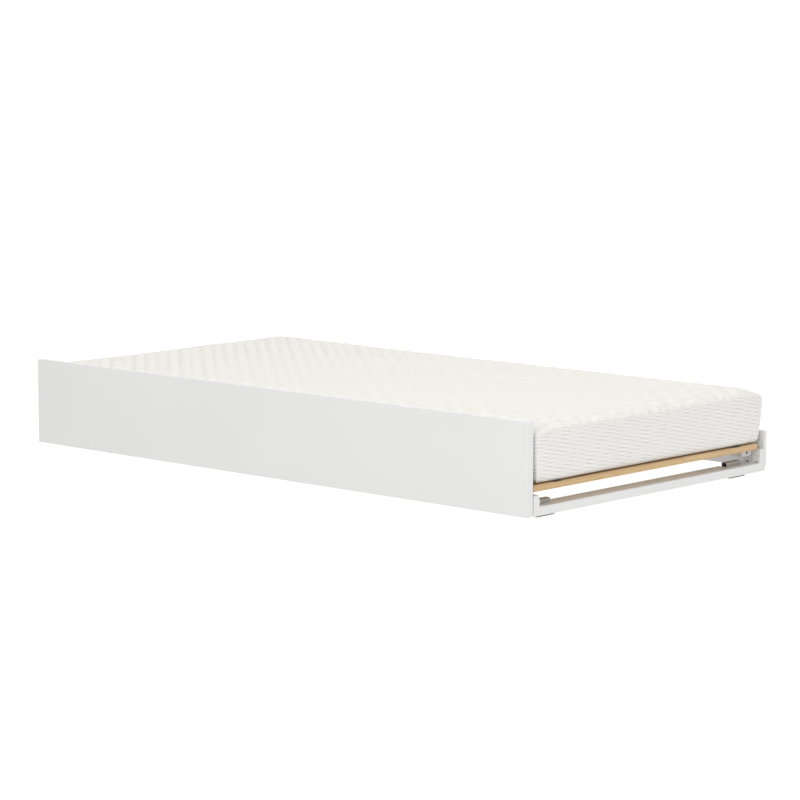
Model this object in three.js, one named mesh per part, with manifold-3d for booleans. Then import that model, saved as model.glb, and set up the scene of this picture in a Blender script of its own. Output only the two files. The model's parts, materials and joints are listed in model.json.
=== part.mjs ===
// Trundle bed: a low bed on four castors that rolls out from under a taller bed.
// Millimetres. +X along the bed, +Y from the front panel to the back panel, +Z up.
// The origin is on the floor, under the middle of the bed.
import * as THREE from "three";
import { mergeVertices } from "three/addons/utils/BufferGeometryUtils.js";
import Module from "manifold-3d";

// ---------------------------------------------------------------- driving dimensions

const LENGTH = 1920; // front panel, end to end
const WIDTH = 1046; // over both panels
const GROUND_GAP = 12; // lower edge of the front panel above the floor
const FIT = 0.3; // gap left between pieces that touch
const FRONT = -1; // side of the front panel
const BACK = 1; // side of the back panel

const FRONT_PANEL = { thick: 24, high: 250, edge: 2.5 };
const BACK_PANEL = { thick: 12, bottom: 24, top: 127, edge: 1.5 };
const FRONT_RAIL = { wide: 25, bottom: 24, top: 67, edge: 1.5 };
const BACK_RAIL = { wide: 19, bottom: 24, top: 76, edge: 1.5 };
const FRONT_LEDGE = { wide: 24, bottom: 55, endInset: 40 };
const BACK_LEDGE = { wide: 45, bottom: 55, endInset: 30 };
const LEDGE_EDGE = 1.5;

const BATTEN = { wide: 58, thick: 24, edge: 1.5, lipEnd: 6, panelGap: 3, middleX: 320 };
const HORN = 5; // thickness of the upstands on an end batten, which cover the rails' ends

const SLAT = { count: 13, wide: 70, thick: 16, long: 975, bottom: 77, edge: 2.5, frontGap: 4 };
const STRAP = { wide: 30, thick: 1.6, fromMiddle: 390, endInset: 5 };
const MATTRESS = { long: 1918, wide: 991, top: 245, edge: 14, frontGap: 14, underGap: 0.6 };

// Castors: a shallow tray under the batten, with a bent steel channel standing on it.
const CASTOR = { frontInset: 94.5, backInset: 115.5, fromEnd: 38.5 }; // wheel centre from faces and end
const TRAY = { long: 71, wide: 45, bottom: 5, wall: 2, edge: 0.9 };
const CHANNEL = { long: 65, wide: 18, top: 48.4, wall: 2.2, bend: 3 };
const AXLE = { height: 22.5, radius: 3, headRadius: 4.4, headThick: 1, play: 0.2, sides: 12 };
const WHEEL = { wide: 12, sides: 24, bore: 3.3, hubRadius: 8, rimRadius: 18, dish: 1.5, round: 1.5 };
const NOTCH_PLAY = 1.5; // room round the channel in the end batten

// Corner brackets: bent steel angles that tie the end battens to the rails.
const BRACKET = { long: 44, fromEnd: 22.5, high: 18, deep: 12, thick: 2, bend: 3, holeSpread: 16 };
const BRACKET_HOLE = { radius: 2.4, up: 11, out: 6.6 };
const TRAY_HOLE = 2.4; // radius

const SCREW = { head: 3.5, headHigh: 2.2, shank: 1.8, long: 15, point: 3, sides: 8, pilot: 2.2, play: 0.15 };
const CASTOR_SCREW = { fromChannel: 7.5, spread: 26 };

// ---------------------------------------------------------------- derived places

const panelTop = GROUND_GAP + FRONT_PANEL.high;
const battenTop = GROUND_GAP + BATTEN.thick;
const halfLap = BACK_RAIL.bottom - FIT; // top of the lip left at a batten's ends
const frontPanelInner = -WIDTH / 2 + FRONT_PANEL.thick;
const backPanelInner = WIDTH / 2 - BACK_PANEL.thick;
const frontRailInner = frontPanelInner + FRONT_RAIL.wide;
const backRailInner = backPanelInner - BACK_RAIL.wide;
const ledgeTop = SLAT.bottom - FIT;
const slatFront = frontPanelInner + SLAT.frontGap;
const slatTop = SLAT.bottom + SLAT.thick;
const battenFront = frontPanelInner + BATTEN.panelGap;
const endBattenX = LENGTH / 2 - BATTEN.wide / 2;
const castorX = LENGTH / 2 - CASTOR.fromEnd;
const castorY = (side) => side * (WIDTH / 2 - (side === FRONT ? CASTOR.frontInset : CASTOR.backInset));
const bracketX = LENGTH / 2 - BRACKET.fromEnd;
const bracketFace = (side) => (side === FRONT ? frontRailInner + FIT : backRailInner - FIT);
const castorScrewX = castorX + CHANNEL.wide / 2 + CASTOR_SCREW.fromChannel;

const CORNERS = [
  { name: "front_right", end: 1, side: FRONT },
  { name: "front_left", end: -1, side: FRONT },
  { name: "back_right", end: 1, side: BACK },
  { name: "back_left", end: -1, side: BACK },
];

// ---------------------------------------------------------------- materials

function finish(color, roughness, metalness) {
  return new THREE.MeshStandardMaterial({ color, roughness, metalness });
}

const LACQUER = finish(0xe9e9e7, 0.45, 0);
const PINE = finish(0xc9a873, 0.6, 0);
const WEBBING = finish(0x1b1a19, 0.85, 0);
const TICKING = finish(0xefebe4, 0.9, 0);
const STEEL = finish(0x8d8983, 0.35, 1);
const ZINC = finish(0xb4b3ae, 0.4, 0.6);
const WHITE_STEEL = finish(0xdededb, 0.45, 0.2);
const BLACK_STEEL = finish(0x2b2825, 0.5, 0.8);
const NYLON = finish(0x3c3c3d, 0.5, 0);

// ---------------------------------------------------------------- solids

const wasm = await Module();
wasm.setup();

// A closed geometry as a manifold solid.
function solidOf(geometry) {
  const bare = geometry.clone();
  bare.deleteAttribute("normal");
  bare.deleteAttribute("uv");
  const merged = mergeVertices(bare, 1e-4);
  return new wasm.Manifold(
    new wasm.Mesh({
      numProp: 3,
      vertProperties: new Float32Array(merged.attributes.position.array),
      triVerts: new Uint32Array(merged.index.array),
    }),
  );
}

// A manifold solid as a flat-shaded geometry.
function geometryOf(solid) {
  const mesh = solid.getMesh();
  const indexed = new THREE.BufferGeometry();
  indexed.setAttribute("position", new THREE.BufferAttribute(new Float32Array(mesh.vertProperties), 3));
  indexed.setIndex(new THREE.BufferAttribute(new Uint32Array(mesh.triVerts), 1));
  const flat = indexed.toNonIndexed();
  flat.computeVertexNormals();
  return flat;
}

// The geometry with each of the tools taken out of it.
function cut(geometry, tools) {
  return geometryOf(tools.reduce((body, tool) => body.subtract(solidOf(tool)), solidOf(geometry)));
}

// The geometry with each of the others joined on to it.
function joined(geometry, others) {
  return geometryOf(others.reduce((body, other) => body.add(solidOf(other)), solidOf(geometry)));
}

// A plain block between two corners.
function block([x0, y0, z0], [x1, y1, z1]) {
  return new THREE.BoxGeometry(x1 - x0, y1 - y0, z1 - z0).translate(
    (x0 + x1) / 2,
    (y0 + y1) / 2,
    (z0 + z1) / 2,
  );
}

function roundedRectangle(wide, high, radius) {
  const [x, y] = [wide / 2 - radius, high / 2 - radius];
  const shape = new THREE.Shape();
  shape.absarc(x, y, radius, 0, Math.PI / 2);
  shape.absarc(-x, y, radius, Math.PI / 2, Math.PI);
  shape.absarc(-x, -y, radius, Math.PI, 1.5 * Math.PI);
  shape.absarc(x, -y, radius, 1.5 * Math.PI, 2 * Math.PI);
  shape.closePath();
  return shape;
}

// A board about the origin with every edge rounded: its thin way is extruded, its faces bevelled.
function board(size, edge, steps = 1) {
  const thin = size.indexOf(Math.min(...size));
  const [u, v] = [(thin + 1) % 3, (thin + 2) % 3];
  const cornerRadius = 1.6 * edge; // wider than the bevel, so the inner outline keeps its corners
  const made = new THREE.ExtrudeGeometry(roundedRectangle(size[u], size[v], cornerRadius), {
    depth: size[thin] - 2 * edge,
    bevelThickness: edge,
    bevelSize: edge,
    bevelOffset: -edge,
    bevelSegments: steps,
    curveSegments: steps + 1,
  });
  made.translate(0, 0, edge - size[thin] / 2);
  const axes = [0, 1, 2].map((i) => new THREE.Vector3().setComponent(i, 1));
  return made.applyMatrix4(new THREE.Matrix4().makeBasis(axes[u], axes[v], axes[thin]));
}

// The same board between two corners.
function boardBetween(low, high, edge, steps) {
  const size = low.map((value, i) => high[i] - value);
  const middle = low.map((value, i) => (high[i] + value) / 2);
  return board(size, edge, steps).translate(...middle);
}

// A solid of revolution about +Z through the origin. The profile is a list of [radius, height].
function turned(profile, sides, start = 0) {
  const points = profile.map(([radius, height]) => new THREE.Vector2(radius, height));
  return new THREE.LatheGeometry(points, sides, start).rotateX(Math.PI / 2);
}

// A round bar between two heights, for cutting holes along +Z.
function drill(radius, low, high, sides = 12) {
  return turned([[0, low], [radius, low], [radius, high], [0, high]], sides);
}

// A profile in the YZ plane, drawn as [y, z], extruded along X about the origin.
function alongX(points, long) {
  const shape = new THREE.Shape(points.map(([y, z]) => new THREE.Vector2(y, z)));
  const made = new THREE.ExtrudeGeometry(shape, { depth: long, bevelEnabled: false });
  return made.translate(0, 0, -long / 2).rotateY(Math.PI / 2).rotateX(Math.PI / 2);
}

// Points of an arc from one angle to another, in degrees, about [x, y].
function arc([x, y], radius, from, to, steps = 3) {
  return Array.from({ length: steps + 1 }, (_, i) => {
    const angle = THREE.MathUtils.degToRad(from + ((to - from) * i) / steps);
    return [x + radius * Math.cos(angle), y + radius * Math.sin(angle)];
  });
}

const bed = new THREE.Group();

function add(name, geometry, material, position = [0, 0, 0]) {
  const mesh = new THREE.Mesh(geometry, material);
  mesh.name = name;
  mesh.position.set(...position);
  bed.add(mesh);
  return mesh;
}

// ---------------------------------------------------------------- panels, rails and ledges

// Pilot holes that the brackets' upright screws leave in a rail, as tools along Y.
function railPilots(side) {
  const face = side === FRONT ? frontRailInner : backRailInner;
  return [-1, 1].map((end) =>
    drill(SCREW.pilot, -SCREW.long - SCREW.point, 1)
      .rotateX(side * Math.PI / 2)
      .translate(end * bracketX, face, battenTop + FIT + BRACKET_HOLE.up),
  );
}

function addPanels() {
  const half = LENGTH / 2;
  add("front_panel", boardBetween(
    [-half, -WIDTH / 2, GROUND_GAP],
    [half, frontPanelInner, panelTop],
    FRONT_PANEL.edge,
    3,
  ), LACQUER);
  add("back_panel", boardBetween(
    [-half, backPanelInner, BACK_PANEL.bottom],
    [half, WIDTH / 2, BACK_PANEL.top],
    BACK_PANEL.edge,
    2,
  ), LACQUER);
}

function addRails() {
  const half = LENGTH / 2 - HORN - FIT;
  const front = boardBetween(
    [-half, frontPanelInner + FIT, FRONT_RAIL.bottom],
    [half, frontRailInner, FRONT_RAIL.top],
    FRONT_RAIL.edge,
    2,
  );
  const back = boardBetween(
    [-half, backRailInner, BACK_RAIL.bottom],
    [half, backPanelInner - FIT, BACK_RAIL.top],
    BACK_RAIL.edge,
    2,
  );
  add("front_rail", cut(front, railPilots(FRONT)), LACQUER);
  add("back_rail", cut(back, railPilots(BACK)), LACQUER);
}

// Ledges on the rails' inner faces, which the slats lie on.
function addLedges() {
  const frontEnd = LENGTH / 2 - FRONT_LEDGE.endInset;
  const backEnd = LENGTH / 2 - BACK_LEDGE.endInset;
  add("front_slat_ledge", boardBetween(
    [-frontEnd, frontRailInner + FIT, FRONT_LEDGE.bottom],
    [frontEnd, frontRailInner + FRONT_LEDGE.wide, ledgeTop],
    LEDGE_EDGE,
  ), LACQUER);
  add("back_slat_ledge", boardBetween(
    [-backEnd, backRailInner - BACK_LEDGE.wide, BACK_LEDGE.bottom],
    [backEnd, backRailInner - FIT, ledgeTop],
    LEDGE_EDGE,
  ), LACQUER);
}

// ---------------------------------------------------------------- cross battens

// The upper half of a batten is cut away at both ends, where the rails and the back panel sit on it.
// An end batten keeps its outer strip, which carries the horns. The end is -1, 0 or 1.
function lapCuts(end) {
  const side = BATTEN.wide / 2 - HORN;
  const [low, high] = [end < 0 ? -side : -BATTEN.wide, end > 0 ? side : BATTEN.wide];
  const top = battenTop + 1;
  return [
    block([low, -WIDTH, halfLap], [high, frontRailInner + FIT, top]),
    block([low, backRailInner - FIT, halfLap], [high, WIDTH, top]),
    block([-BATTEN.wide, backPanelInner - FIT, halfLap], [BATTEN.wide, WIDTH, top]),
  ];
}

// Upstands of an end batten that cover the ends of the two rails.
function horns(end) {
  const outer = (end * BATTEN.wide) / 2;
  const inner = outer - end * HORN;
  const [low, high] = [Math.min(inner, outer), Math.max(inner, outer)];
  return [
    [battenFront, frontRailInner, FRONT_RAIL.top],
    [backRailInner, backPanelInner - FIT, BACK_RAIL.top],
  ].map(([front, back, top]) =>
    boardBetween([low, front, GROUND_GAP], [high, back, top], BATTEN.edge, 2),
  );
}

// Notches for the castors' channels and pilot holes for their screws, at the bed's end given by end.
function castorCuts(end) {
  const inner = -end * BATTEN.wide;
  const outer = end * (castorX - endBattenX + CHANNEL.wide / 2 + NOTCH_PLAY);
  const reach = CHANNEL.long / 2 + NOTCH_PLAY;
  return [FRONT, BACK].flatMap((side) => [
    block(
      [Math.min(inner, outer), castorY(side) - reach, GROUND_GAP - 1],
      [Math.max(inner, outer), castorY(side) + reach, battenTop + 1],
    ),
    ...[-1, 1].map((hand) =>
      drill(SCREW.pilot, -1, SCREW.long + SCREW.point).translate(
        end * (castorScrewX - endBattenX),
        castorY(side) + hand * CASTOR_SCREW.spread,
        GROUND_GAP,
      ),
    ),
  ]);
}

// Pilot holes for the screws through the brackets' feet.
function bracketPilots(end) {
  return [FRONT, BACK].flatMap((side) =>
    [-1, 1].map((hand) =>
      drill(SCREW.pilot, -SCREW.long - SCREW.point, 1).translate(
        end * (bracketX - endBattenX) + hand * BRACKET.holeSpread,
        bracketFace(side) - side * BRACKET_HOLE.out,
        battenTop,
      ),
    ),
  );
}

function addBattens() {
  const places = [
    ["cross_batten_left_end", -endBattenX, -1],
    ["cross_batten_left_middle", -BATTEN.middleX, 0],
    ["cross_batten_right_middle", BATTEN.middleX, 0],
    ["cross_batten_right_end", endBattenX, 1],
  ];
  for (const [name, x, end] of places) {
    const plain = boardBetween(
      [-BATTEN.wide / 2, battenFront, GROUND_GAP],
      [BATTEN.wide / 2, WIDTH / 2 - BATTEN.lipEnd, battenTop],
      BATTEN.edge,
    );
    const lapped = cut(plain, lapCuts(end));
    const made = end
      ? cut(joined(lapped, horns(end)), [...castorCuts(end), ...bracketPilots(end)])
      : lapped;
    add(name, made, LACQUER, [x, 0, 0]);
  }
}

// ---------------------------------------------------------------- slats and webbing

function addSlats() {
  const first = -LENGTH / 2 + SLAT.wide / 2;
  const pitch = (LENGTH - SLAT.wide) / (SLAT.count - 1);
  for (let i = 0; i < SLAT.count; i += 1) {
    const slat = board([SLAT.wide, SLAT.long, SLAT.thick], SLAT.edge);
    const middle = [first + i * pitch, slatFront + SLAT.long / 2, SLAT.bottom + SLAT.thick / 2];
    add(`slat_${String(i + 1).padStart(2, "0")}`, slat, PINE, middle);
  }
}

function addStraps() {
  const half = LENGTH / 2 - STRAP.endInset;
  const rows = [
    ["front_webbing_strap", FRONT * STRAP.fromMiddle],
    ["back_webbing_strap", BACK * STRAP.fromMiddle],
  ];
  for (const [name, y] of rows) {
    add(name, block(
      [-half, y - STRAP.wide / 2, slatTop + FIT],
      [half, y + STRAP.wide / 2, slatTop + FIT + STRAP.thick],
    ), WEBBING);
  }
}

function addMattress() {
  const low = slatTop + FIT + STRAP.thick + MATTRESS.underGap;
  const front = frontPanelInner + MATTRESS.frontGap;
  add("mattress", boardBetween(
    [-MATTRESS.long / 2, front, low],
    [MATTRESS.long / 2, front + MATTRESS.wide, MATTRESS.top],
    MATTRESS.edge,
    3,
  ), TICKING);
}

// ---------------------------------------------------------------- castors

// The channel's section, an inverted U with bent shoulders, as [x, z] turned into [y, z] order.
function channelProfile(foot) {
  const [outer, inner] = [CHANNEL.wide / 2, CHANNEL.wide / 2 - CHANNEL.wall];
  const [outerBend, innerBend] = [CHANNEL.bend, CHANNEL.bend - CHANNEL.wall];
  const shoulder = CHANNEL.top - CHANNEL.bend;
  return [
    [outer, foot],
    ...arc([outer - outerBend, shoulder], outerBend, 0, 90),
    ...arc([outerBend - outer, shoulder], outerBend, 90, 180),
    [-outer, foot],
    [-inner, foot],
    ...arc([innerBend - inner, shoulder], innerBend, 180, 90),
    ...arc([inner - innerBend, shoulder], innerBend, 90, 0),
    [inner, foot],
  ];
}

function castorHousing() {
  const trayTop = GROUND_GAP - FIT;
  const flange = trayTop - TRAY.wall;
  const [x, y] = [TRAY.wide / 2, TRAY.long / 2];
  const slotX = CHANNEL.wide / 2 - CHANNEL.wall;
  const tray = solidOf(boardBetween([-x, -y, TRAY.bottom], [x, y, trayTop], TRAY.edge, 2));
  const hollow = block([TRAY.wall - x, TRAY.wall - y, 0], [x - TRAY.wall, y - TRAY.wall, flange]);
  const slot = block([-slotX, -CHANNEL.long / 2, flange - 1], [slotX, CHANNEL.long / 2, trayTop + 1]);
  const channel = alongX(channelProfile(flange + TRAY.wall / 2), CHANNEL.long).rotateZ(Math.PI / 2);
  const bore = drill(AXLE.radius + AXLE.play, -CHANNEL.wide, CHANNEL.wide, 16)
    .rotateY(Math.PI / 2)
    .translate(0, 0, AXLE.height);
  const screwX = CHANNEL.wide / 2 + CASTOR_SCREW.fromChannel;
  const screwHoles = [-1, 1].map((hand) =>
    drill(TRAY_HOLE, 0, CHANNEL.top).translate(screwX, hand * CASTOR_SCREW.spread, 0),
  );
  const body = tray
    .subtract(solidOf(hollow))
    .subtract(solidOf(slot))
    .add(solidOf(channel));
  return cut(geometryOf(body), [bore, ...screwHoles]);
}

// A rivet that spans the channel, with a flat head outside each leg.
function axle() {
  const leg = CHANNEL.wide / 2 + AXLE.play;
  const end = leg + AXLE.headThick;
  return turned([
    [0, -end],
    [AXLE.headRadius, -end],
    [AXLE.headRadius, -leg],
    [AXLE.radius, -leg],
    [AXLE.radius, leg],
    [AXLE.headRadius, leg],
    [AXLE.headRadius, end],
    [0, end],
  ], AXLE.sides).rotateY(Math.PI / 2);
}

// A dished wheel. Its flats, not its corners, lie on the circle that meets the floor.
function wheel() {
  const half = WHEEL.wide / 2;
  const tread = AXLE.height / Math.cos(Math.PI / WHEEL.sides);
  const dish = half - WHEEL.dish;
  const right = [
    [tread, half - WHEEL.round],
    [tread - WHEEL.round, half],
    [WHEEL.rimRadius, half],
    [WHEEL.rimRadius - WHEEL.dish, dish],
    [WHEEL.hubRadius + WHEEL.dish, dish],
    [WHEEL.hubRadius, half],
    [WHEEL.bore, half],
  ];
  const left = right.map(([radius, height]) => [radius, -height]).reverse();
  return turned([...left, ...right, left[0]], WHEEL.sides, Math.PI / WHEEL.sides).rotateY(Math.PI / 2);
}

function addCastors() {
  for (const { name, end, side } of CORNERS) {
    const place = [end * castorX, castorY(side), 0];
    const housing = castorHousing();
    if (end < 0) housing.rotateZ(Math.PI);
    add(`castor_housing_${name}`, housing, STEEL, place);
    add(`castor_axle_${name}`, axle(), ZINC, [place[0], place[1], AXLE.height]);
    add(`castor_wheel_${name}`, wheel(), NYLON, [place[0], place[1], AXLE.height]);
  }
}

// ---------------------------------------------------------------- brackets and screws

// A bent angle for the back rail: its foot on the batten has two holes, its upright leg has one.
// The inner corner of its bend is at y = 0, z = 0 and it reaches towards -Y.
function cornerBracket() {
  const [bend, thick] = [BRACKET.bend, BRACKET.thick];
  const profile = [
    [-BRACKET.deep, 0],
    ...arc([-bend, bend], bend, 270, 360),
    [0, BRACKET.high],
    [-thick, BRACKET.high],
    ...arc([-bend, bend], bend - thick, 360, 270),
    [-BRACKET.deep, thick],
  ];
  const footHoles = [-1, 1].map((hand) =>
    drill(BRACKET_HOLE.radius, -1, thick + 1).translate(hand * BRACKET.holeSpread, -BRACKET_HOLE.out, 0),
  );
  const uprightHole = drill(BRACKET_HOLE.radius, -BRACKET.deep, BRACKET.deep)
    .rotateX(Math.PI / 2)
    .translate(0, 0, BRACKET_HOLE.up);
  return cut(alongX(profile, BRACKET.long), [...footHoles, uprightHole]);
}

// A pan-head screw. The underside of its head is at the origin and it points down -Z.
function screw() {
  return turned([
    [0, -SCREW.long],
    [SCREW.shank, SCREW.point - SCREW.long],
    [SCREW.shank, 0],
    [SCREW.head, 0],
    [SCREW.head, 0.3 * SCREW.headHigh],
    [0.6 * SCREW.head, SCREW.headHigh],
    [0, SCREW.headHigh],
  ], SCREW.sides);
}

function addBrackets() {
  for (const { name, end, side } of CORNERS) {
    const face = bracketFace(side);
    const bracket = cornerBracket();
    if (side === FRONT) bracket.rotateZ(Math.PI);
    add(`corner_bracket_${name}`, bracket, WHITE_STEEL, [end * bracketX, face, battenTop + FIT]);
    for (const [label, hand] of [["a", -1], ["b", 1]]) {
      add(`bracket_screw_${name}_${label}`, screw(), BLACK_STEEL, [
        end * bracketX + hand * BRACKET.holeSpread,
        face - side * BRACKET_HOLE.out,
        battenTop + FIT + BRACKET.thick + SCREW.play,
      ]);
    }
  }
}

// Screws up through the castor trays into the end battens.
function addCastorScrews() {
  const under = GROUND_GAP - FIT - TRAY.wall - SCREW.play;
  for (const { name, end, side } of CORNERS) {
    for (const [label, hand] of [["a", -1], ["b", 1]]) {
      const place = [end * castorScrewX, castorY(side) + hand * CASTOR_SCREW.spread, under];
      add(`castor_screw_${name}_${label}`, screw().rotateX(Math.PI), ZINC, place);
    }
  }
}

addPanels();
addRails();
addLedges();
addBattens();
addSlats();
addStraps();
addMattress();
addCastors();
addBrackets();
addCastorScrews();

export default bed;
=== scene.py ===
"""Trundle bed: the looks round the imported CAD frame. Metres, +X along the bed, +Y to the back, +Z up."""

import json
import math

import bpy
import numpy as np
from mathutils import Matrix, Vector
from mathutils.bvhtree import BVHTree
from mathutils.interpolate import poly_3d_calc


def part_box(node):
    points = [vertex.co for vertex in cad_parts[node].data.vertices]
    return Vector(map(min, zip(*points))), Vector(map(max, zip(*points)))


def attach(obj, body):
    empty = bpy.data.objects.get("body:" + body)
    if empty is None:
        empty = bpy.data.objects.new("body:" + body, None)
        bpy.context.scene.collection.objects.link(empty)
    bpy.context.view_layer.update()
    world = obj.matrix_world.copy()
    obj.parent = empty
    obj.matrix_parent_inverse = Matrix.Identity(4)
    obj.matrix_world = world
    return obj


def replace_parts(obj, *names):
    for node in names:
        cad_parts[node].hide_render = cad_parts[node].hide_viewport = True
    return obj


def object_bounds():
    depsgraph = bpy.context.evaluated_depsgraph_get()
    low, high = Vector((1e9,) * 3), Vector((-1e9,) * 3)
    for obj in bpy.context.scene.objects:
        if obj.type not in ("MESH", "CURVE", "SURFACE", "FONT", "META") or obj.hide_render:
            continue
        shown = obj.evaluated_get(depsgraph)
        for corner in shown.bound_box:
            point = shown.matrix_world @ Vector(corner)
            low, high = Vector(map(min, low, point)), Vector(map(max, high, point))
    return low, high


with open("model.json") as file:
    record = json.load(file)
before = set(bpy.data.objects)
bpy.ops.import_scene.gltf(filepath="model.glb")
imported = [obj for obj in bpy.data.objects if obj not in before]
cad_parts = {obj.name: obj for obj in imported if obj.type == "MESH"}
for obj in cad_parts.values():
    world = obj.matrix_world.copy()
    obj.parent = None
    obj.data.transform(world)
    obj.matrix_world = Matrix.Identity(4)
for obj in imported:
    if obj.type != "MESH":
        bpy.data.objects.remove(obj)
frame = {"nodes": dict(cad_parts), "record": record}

MM = 0.001
TINY = 1e-6
CAD_BOX = [list(corner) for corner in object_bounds()]

# ------------------------------------------------------------------ driving values

CAMERA_AT = (5.939, -6.416, 1.397)
CAMERA_AZIMUTH = 42.63  # degrees; 0 looks along +Y
CAMERA_DOWN = 7.95  # degrees below the horizon
CAMERA_LENS = 136.6  # mm
SENSOR_WIDTH = 36  # mm
CAMERA_FAR = 200.0

# Studio: a glowing floor, a sky that is brightest at the horizon behind the bed, and three lights.
FLOOR_SIZE = 400.0
FLOOR_GLOW = 0.915  # what the floor round the bed throws up at it
UNDER_GLOW = 0.6  # the same for the floor under the bed
UNDER_FADE = (0.8, 1.0)  # where that starts and ends, in shares of the way from the middle to the edge
SKY = 0.50
HORIZON = 1.6  # the sky at the horizon behind the bed
HORIZON_WAY = (-0.68, 0.73, 0)  # from the bed to there
HORIZON_WIDE = (-0.1, 0.5)  # cosines of the angles from there at which it starts and is full
HORIZON_HIGH = (0.8, 0.2)  # sines of the heights at which it starts and is full
LIGHTS = (  # name, place, width, watts
    ("front", (3.0, -5.0, 2.6), 2.5, 98),
    ("side", (6.5, 0.3, 2.2), 2.5, 39),
    ("overhead", (0.0, 0.5, 5.0), 5.0, 77),
)
LIGHTS_AIM = (0, 0, 0.1)
SEED = 7

# Mattress: a foam block in a knitted cover, made of a top panel sewn to a border.
EASE_END = 2 * MM  # how far the cover stands past its CAD block at each end
EASE_FRONT = 0
EASE_BACK = 1 * MM
EASE_TOP = 1.5 * MM
PLAN_CORNER = 16 * MM  # radius of its upright corners at the back, seen from above
FRONT_CORNER = 10 * MM  # the same at the front
TOP_ROUND = 20 * MM
BOTTOM_ROUND = 12 * MM
TAPER = 5 * MM  # how far the border leans in from its widest height to its foot
LEAN_FROM = 0.5  # that height, from -1 at the foot to 1 at the top
LEAN_CURVE = 1.5
LEAN_REACH = 64 * MM  # how far in from the border the underside follows it
CORNER_DROOP = 13.5 * MM  # how far its corners sink at the top, at the right end
LEFT_DROOP = 0.2  # share of that at the left end
CORNER_TUCK = 7 * MM  # how much further the corners lean in than the border between them
CORNER_REACH = 60 * MM
CORNER_SHADE = 0.65  # how far the top panel takes on the border's greyer colour at its corners, a painted shade there
COVER_STEP = 6.2 * MM  # grid of the finished cover
RIM_STEP = 3.5 * MM
UNDER_MARGIN = 12  # cells of the underside that stay fine, in from its edges
UNDER_BLOCK = 8  # cells that make one coarse cell past that

# Cloth simulation of the cover.
SIM_STEP = 24 * MM
SIM_FRAMES = 16
BULGE = 4 * MM  # how far a point may move
HELD_PAST = 0.97  # the cover is held past this height, both ways, from -1 at the foot to 1 at the top
HELD_TOP = 0.35  # how firmly the top is held
HELD_UNEVEN = 0.2
HELD_SIZE = 300 * MM  # size of the waves of that
CLOTH_MASS = 0.4
CLOTH_STIFFNESS = 20
CLOTH_BENDING = 1.5
CLOTH_PRESSURE = 2.5

# Knit, pillows, puckers and seam of the cover.
RIB_PITCH = 10.3 * MM  # from one knitted rib to the next
RIB_SLANT = 0.107  # how far a rib falls for each length along it
TOP_STACK = 47 * MM  # from one stack of raised dashes to the next, along a rib
BORDER_STACK = 61 * MM
TOP_LEAN = 0.93  # how far a stack moves along the ribs from one rib's place to the next
BORDER_LEAN = 0.99
FALLING_WAVE = 0.57  # share of the dashes' wave that falls along the border; the rest is level
SOFT_HEIGHT = 0.6 * MM  # long soft waves of the whole cover
SOFT_SIZE = 240 * MM
PILLOW_HEIGHT = 2.8 * MM  # the soft diagonal pillows of the top panel, from valley to crest
PILLOW_CREST = 0.4  # share of that above the plain surface
PILLOW_SIZE = 110 * MM  # size of the waves that make them uneven
PILLOW_SHARE = (0.8, 0.35, 0.3, 1.2)  # what the waves leave of them: middle, swing, least and most
PILLOW_MIDDLE = 0.05  # share of their height at the bed's middle
PILLOW_FADE = 0.7  # distance to the left over which that share grows by 1, until it is all
PILLOW_LEAST = 0.06  # share to the right of the middle
SEAM_PITCH = 37 * MM  # from one puff of the seam to the next
SEAM_STRAY = 8 * MM  # how far a puff strays from its place
SEAM_STRAY_SIZE = 70 * MM
SEAM_HEIGHT = 3.2 * MM
SEAM_SUNK = 0.35  # share of that below the plain surface
SEAM_DOWN = 1 * MM  # the seam's middle, below the cover's rim
SEAM_WIDTH = 9.5 * MM
SEAM_SIZE = 120 * MM  # size of the waves that make it uneven
SEAM_SHARE = (0.75, 0.6, 0.15, 1.5)  # what they leave of it: middle, swing, least and most
SEAM_FADE = 200 * MM  # how far from a corner the seam starts to flatten out
SEAM_FLAT = 0.8  # how flat it is at a corner
GROOVE_DOWN = 13 * MM  # the stitched groove under the seam
GROOVE_WIDTH = 3 * MM
GROOVE_DEEP = 0.8 * MM
PUCKER_SIZE = 38 * MM
PUCKER_HEIGHT = 0.9 * MM
PUCKER_REACH = 110 * MM  # how far the puckers spread from the seam
PUCKER_FAR = 0.12  # what is left of them beyond that
WAVES = 9  # waves that make up one soft random field
WAVES_SCALE = 0.25  # brings their sum to about -1 to 1

# How much painted highlight the relief puts on the cloth where it stands out, and how much painted shade
# where it sinks.
PILLOW_HIGHLIGHT = 0.25
VALLEY_SHADE = 0.8
LUMP_HIGHLIGHT = 1.2
HOLLOW_SHADE = 0.4
PUFF_HIGHLIGHT = 2.0
STITCH_SHADE = 1.1
GROOVE_SHADE = 0.3

# Webbing straps and their staples.
STRAP_STEP = 7 * MM
STRAP_DIP = 1.1 * MM  # how far a strap hangs between two slats
SELVEDGE = 2.2 * MM
STAPLE_CROWN = 11 * MM
STAPLE_WIRE = 0.45 * MM  # radius
STAPLE_SIDES = 6
STAPLE_ROWS = (-9 * MM, 9 * MM)  # places across the strap, on every slat

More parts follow.
